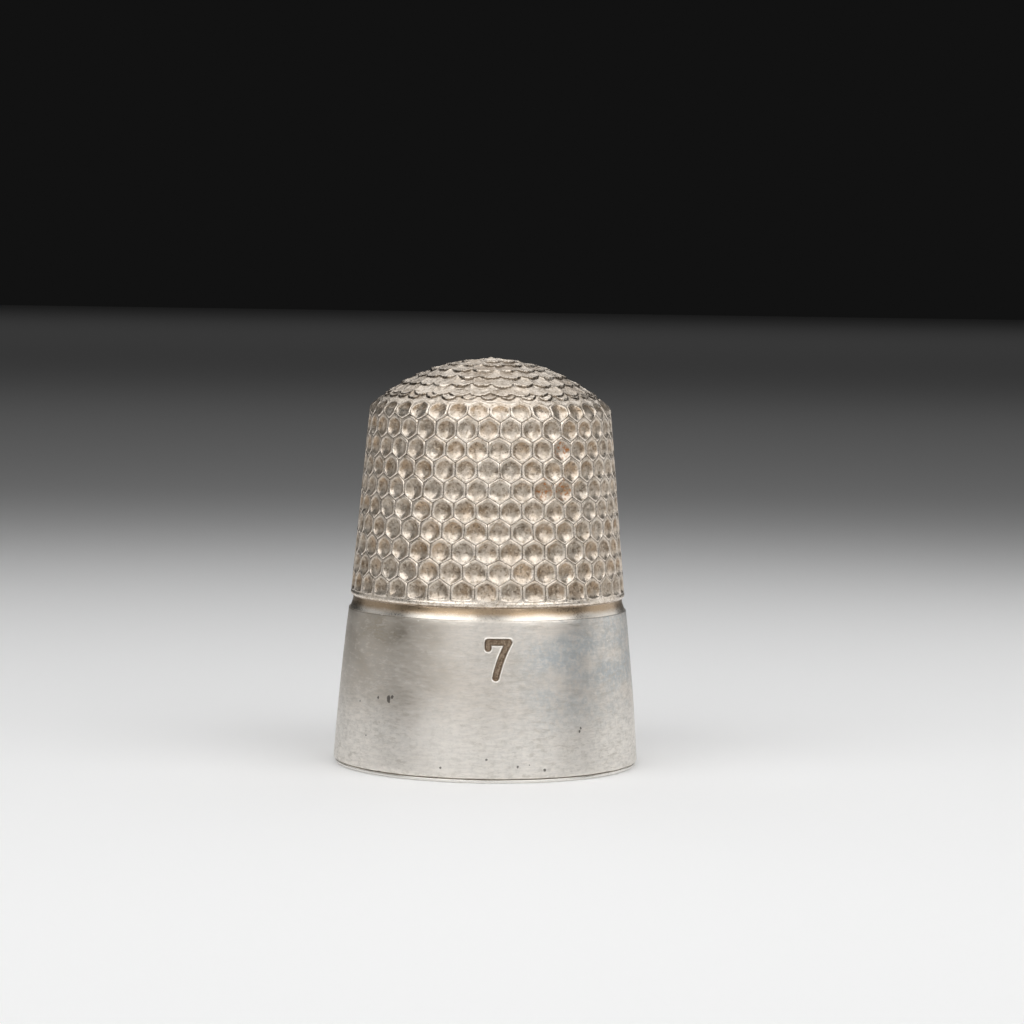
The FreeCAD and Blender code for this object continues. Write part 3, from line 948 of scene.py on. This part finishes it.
def crown_solder(material, scales):
    """The rubbed, lumpy ring over the shoulder, between the crown and the side."""
    azimuths = full_turn(CROWN_COLUMNS)
    turns = np.linspace(SIDE_EDGE, CAP_EDGE, 9)
    outside, values = crown_net(azimuths, turns, scales)
    backs = [on_ball(BALL - CORE_OUTSIDE, azimuths, turn) for turn in (CAP_EDGE, SIDE_EDGE)]
    rings = numbered_rings(len(turns) + len(backs), CROWN_COLUMNS)
    make_piece("crown_solder", material, np.concatenate([outside] + backs),
               wrapped_faces(rings), 80.0, values, rings[0] + rings[len(turns) - 1])


# ------------------------ the band


def band_radius(height):
    """The band's outside: one shallow arc through its foot, middle and top."""
    ax, ay = BAND_FOOT_RADIUS, SEAM_TOP
    bx, by = BAND_MIDDLE_RADIUS, BAND_MIDDLE_HEIGHT
    cx, cy = BAND_TOP_RADIUS, BAND_TOP
    d = 2 * (ax * (by - cy) + bx * (cy - ay) + cx * (ay - by))
    a2, b2, c2 = ax ** 2 + ay ** 2, bx ** 2 + by ** 2, cx ** 2 + cy ** 2
    middle_r = (a2 * (by - cy) + b2 * (cy - ay) + c2 * (ay - by)) / d
    middle_z = (a2 * (cx - bx) + b2 * (ax - cx) + c2 * (bx - ax)) / d
    size = math.hypot(ax - middle_r, ay - middle_z)
    return middle_r + math.copysign(1, ax - middle_r) * np.sqrt(size ** 2 - (height - middle_z) ** 2)


def numeral_path():
    """The strokes of the seven as short straight runs, about its own centre."""
    half = NUMERAL_STROKE / 2
    left, right = -NUMERAL_WIDTH / 2 + half, NUMERAL_WIDTH / 2 - half
    top, bottom = NUMERAL_HEIGHT / 2 - half, -NUMERAL_HEIGHT / 2 + half
    path = [(left, top - 0.34), (left, top), (right, top)]
    bend, end = (right * 0.15, 0.1), (-right * 0.25, bottom)
    start = path[-1]
    for step in range(1, 9):
        t = step / 8
        path.append(tuple(
            (1 - t) ** 2 * start[k] + 2 * t * (1 - t) * bend[k] + t ** 2 * end[k]
            for k in range(2)))
    return path


def numeral_lift(x, y):
    """How the stamp moves the band's face: a sunk stroke with a thrown-up burr round it.

    Two shares come with it, of how much each place belongs to the stroke and to the burr.
    """
    gap = np.full(np.shape(x), 9.0)
    path = numeral_path()
    for (ax, ay), (bx, by) in zip(path, path[1:]):
        dx, dy = bx - ax, by - ay
        along = np.clip(((x - ax) * dx + (y - ay) * dy) / (dx ** 2 + dy ** 2), 0, 1)
        gap = np.minimum(gap, np.hypot(x - ax - along * dx, y - ay - along * dy))
    gap -= NUMERAL_STROKE / 2
    wall = np.clip((0.01 - gap) / NUMERAL_WALL, 0, 1)
    burr = np.exp(-((gap - BURR_PLACE) / BURR_WIDTH) ** 2)
    return BURR_HEIGHT * burr - NUMERAL_DEPTH * smooth(wall, 0, 1), wall, burr


def spaced(low, high, fine_low, fine_high, coarse, fine):
    """Grid lines from low to high, close together between fine_low and fine_high."""
    parts = [
        np.linspace(low, fine_low, max(2, round((fine_low - low) / coarse) + 1))[:-1],
        np.linspace(fine_low, fine_high, round((fine_high - fine_low) / fine) + 1),
        np.linspace(fine_high, high, max(2, round((high - fine_high) / coarse) + 1))[1:],
    ]
    return np.concatenate(parts)


def band(material):
    """The plain band, with close grid lines where the numeral is stamped."""
    numeral_radius = band_radius(NUMERAL_CENTRE)
    turn = FINE_HALF_WIDTH / numeral_radius
    azimuths = spaced(-math.pi, math.pi, -turn, turn, 2 * math.pi / BAND_COLUMNS,
                      FINE_STEP / numeral_radius)[:-1]
    foot = SEAM_TOP + BAND_FOOT_EDGE
    heights = spaced(foot, BAND_TOP - BAND_HEAD_EDGE, NUMERAL_CENTRE - FINE_HALF_HEIGHT,
                     NUMERAL_CENTRE + FINE_HALF_HEIGHT, BAND_STEP, FINE_STEP)
    azimuth, height = np.meshgrid(azimuths, heights)
    radius = band_radius(height)
    lift, sunk, burr = numeral_lift(radius * azimuth, height - NUMERAL_CENTRE)
    lift += lumps(around(radius, azimuth, height), BAND_LUMPS)

    nick = NICK_DEPTH * np.exp(-((np.degrees(azimuths) - NICK_AZIMUTH) / NICK_WIDTH) ** 2)
    ragged = lumps(around(BAND_FOOT_RADIUS, azimuths, 0.0), RAGGED_EDGE) + nick
    stack = [around(side_radius(SEAM_TOP, CORE_OUTSIDE), azimuths, SEAM_TOP)]
    for step, (inward, rise) in enumerate(FOOT_ROUND):
        level = SEAM_TOP + rise + ragged * (1 - step / len(FOOT_ROUND))
        stack.append(around(band_radius(foot) - inward, azimuths, level))
    blank = np.zeros(len(stack) * len(azimuths))
    stack += list(around(radius + lift, azimuth, height))
    for inward, drop in HEAD_ROUND:
        stack.append(around(band_radius(BAND_TOP) - inward, azimuths, BAND_TOP - drop))
    for level, inset in ((BAND_TOP, SKIRT_OUTSIDE), (SIDE_FOOT, SKIRT_OUTSIDE),
                         (SIDE_FOOT, CORE_OUTSIDE)):
        stack.append(around(side_radius(level, inset), azimuths, level))
    faces = wrapped_faces(numbered_rings(len(stack), len(azimuths)))
    values = {"sunk": np.append(blank, sunk), "burr": np.append(blank, burr)}
    make_piece("band", material, np.concatenate(stack), faces, 50.0, values)


# ------------------------ cove, seam and lining


def band_solder(material):
    """The hollow fillet in the cove, a little uneven as it flowed."""
    foot = (BAND_TOP_RADIUS - 0.07, BAND_TOP)
    level = NECK_HEIGHT - 0.02
    top = (side_radius(level, SKIRT_OUTSIDE) + 0.004, level)
    section = [(side_radius(BAND_TOP, SKIRT_OUTSIDE), BAND_TOP), foot]
    steps = 14
    for step in range(1, steps):
        share = step / steps
        sag = 0.028 * math.sin(share * math.pi)
        section.append((foot[0] + (top[0] - foot[0]) * share - sag,
                        foot[1] + (top[1] - foot[1]) * share - sag * 0.4))
    section += [top, (side_radius(level, SKIRT_OUTSIDE) - 0.02, level)]
    turned_piece("band_solder", material, section, RING_POINTS, 50.0,
                 range(2, len(section) - 2), (0.0, 0.0012, 1.0, 8))


def rim_solder(material):
    """The dark seam under the band's edge, set in by an uneven amount."""
    inner = side_radius(SEAM_TOP, CORE_INSIDE)
    section = [(inner, LIP_HEIGHT), (SEAM_RADIUS, LIP_HEIGHT), (SEAM_RADIUS, SEAM_TOP + 0.05),
               (inner, SEAM_TOP)]
    turned_piece("rim_solder", material, section, RING_POINTS, 30.0,
                 (1, 2), (0.003, -0.003, 1.5, 9))


def quarter_round(radius, height, size, start):
    """A quarter of a circle about a centre, from start quarters past straight up."""
    turns = math.pi / 2 * (start + np.arange(7) / 6)
    return [(radius + size * math.sin(t), height + size * math.cos(t)) for t in turns]


def inner_lining(material):
    """The lining: its turned-out lip, and the smooth hollow that the finger fills."""
    lip = LIP_RADIUS - LIP_ROUND
    mouth = side_radius(MOUTH_ROUND, LINING_INSIDE) + MOUTH_ROUND
    section = [(side_radius(LIP_HEIGHT, CORE_INSIDE), LIP_HEIGHT)]
    section += quarter_round(lip, LIP_HEIGHT - LIP_ROUND, LIP_ROUND, 0)
    section += quarter_round(lip, LIP_ROUND, LIP_ROUND, 1)
    lip_places = range(1, len(section))
    section += quarter_round(mouth, MOUTH_ROUND, MOUTH_ROUND, 2)
    shoulder = ROUND_Z - 0.6
    section += [(side_radius(z, LINING_INSIDE), z) for z in np.linspace(1.0, shoulder, 14)]
    inner, outer = BALL - LINING_INSIDE, BALL - CORE_INSIDE
    section += dome(inner, np.linspace(LINING_CORNER, 0, 14, endpoint=False))
    section += [(APEX_HOLE, BALL_CENTRE + inner), (APEX_HOLE, BALL_CENTRE + outer)]
    section += dome(outer, np.linspace(0, LINING_CORNER, 8)[1:])
    section.append((side_radius(shoulder, CORE_INSIDE), shoulder))
    turned_piece("inner_lining", material, section, 240, 40.0,
                 lip_places, (0.0008, 0.0008, 0.8, 10))


# ------------------------ stage, light and camera


def floor():
    """A plain pale table top that runs far back into the dark."""
    half = 3.0
    mesh = bpy.data.meshes.new("floor")
    mesh.from_pydata([(-half, -half, 0), (half, -half, 0), (half, half, 0), (-half, half, 0)],
                     [], [(0, 1, 2, 3)])
    material = bpy.data.materials.new("pale_floor")
    material.use_nodes = True
    shader = material.node_tree.nodes["Principled BSDF"]
    shader.inputs["Base Color"].default_value = (0.95, 0.95, 0.95, 1)
    shader.inputs["Roughness"].default_value = 0.7
    shader.inputs["Specular IOR Level"].default_value = 0.2
    mesh.materials.append(material)
    table = bpy.data.objects.new("floor", mesh)
    bpy.context.scene.collection.objects.link(table)


def soft_light(name, place, aim, size, brightness):
    """A soft box; brightness is what a mirror would show of its face."""
    light = bpy.data.lights.new(name, "AREA")
    light.shape = "RECTANGLE"
    light.size, light.size_y = size[0] * MM, size[1] * MM
    light.energy = brightness * math.pi * light.size * light.size_y
    lamp = bpy.data.objects.new(name, light)
    lamp.location = Vector(place) * MM
    direction = (Vector(aim) - Vector(place)).normalized()
    lamp.rotation_euler = direction.to_track_quat("-Z", "Y").to_euler()
    bpy.context.scene.collection.objects.link(lamp)


def lights():
    """Large soft boxes high on all sides, paler panels beside them, and washes on the floor."""
    for name, place, aim, size, brightness in (
            ("left_box", (-91, -92, 118), (0, 0, 12), (162, 146), 1.70),
            ("right_box", (91, -92, 118), (0, 0, 12), (162, 146), 1.70),
            ("overhead", (0, -4, 138), (0, 0, 12), (110, 100), 1.42),
            ("back_box", (0, 95, 127), (0, 0, 12), (210, 104), 0.80),
            ("left_panel", (-117, 40, 33), (0, 0, 12), (110, 62), 0.50),
            ("right_panel", (117, 40, 33), (0, 0, 12), (110, 62), 0.92),
            ("front_fill", (0, -420, 135), (0, 0, 12), (1150, 240), 0.66),
            ("back_wash", (0, 350, 300), (0, 350, 0), (1200, 400), 0.10),
            ("far_wash", (0, 1500, 1000), (0, 1500, 0), (2400, 900), 0.10)):
        soft_light(name, place, aim, size, brightness)
    world = bpy.data.worlds.new("dark_room")
    world.use_nodes = True
    world.node_tree.nodes["Background"].inputs["Color"].default_value = (0.006, 0.006, 0.006, 1)
    bpy.context.scene.world = world


def camera():
    """Stands in front, a little left of the numeral, and looks slightly down."""
    lens = bpy.data.cameras.new("camera")
    lens.lens = CAMERA_LENS
    lens.clip_start = 0.01
    eye = bpy.data.objects.new("camera", lens)
    bpy.context.scene.collection.objects.link(eye)
    swing = Matrix.Rotation(CAMERA_AZIMUTH, 3, "Z")
    ahead = swing @ Vector((
        math.sin(CAMERA_YAW) * math.cos(CAMERA_PITCH),
        math.cos(CAMERA_YAW) * math.cos(CAMERA_PITCH),
        -math.sin(CAMERA_PITCH)))
    level_right = ahead.cross(Vector((0, 0, 1))).normalized()
    level_up = level_right.cross(ahead)
    right = level_right * math.cos(CAMERA_ROLL) + level_up * math.sin(CAMERA_ROLL)
    up = level_up * math.cos(CAMERA_ROLL) - level_right * math.sin(CAMERA_ROLL)
    place = swing @ Vector((0, -CAMERA_DISTANCE, CAMERA_HEIGHT)) * MM
    axes = Matrix((right, up, -ahead)).transposed()
    eye.matrix_world = Matrix.Translation(place) @ axes.to_4x4()
    bpy.context.scene.camera = eye


# ------------------------ the whole thimble

crown_rings = crown_scales()
side_wall(dented_silver("dented_silver", 0.27, 0.39, 0.050), crown_rings)
crown_silver = dented_silver("crown_silver", 0.27, 0.40, 0.100)
crown_cap(crown_silver, crown_rings)
crown_solder(crown_silver, crown_rings)
band(satin_silver())
band_solder(cove_silver())
rim_solder(seam_silver())
inner_lining(lining_silver())
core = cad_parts["steel_core"]
core.data.materials.clear()
core.data.materials.append(core_steel())

floor()
lights()
camera()
bpy.context.scene.view_settings.view_transform = "Standard"
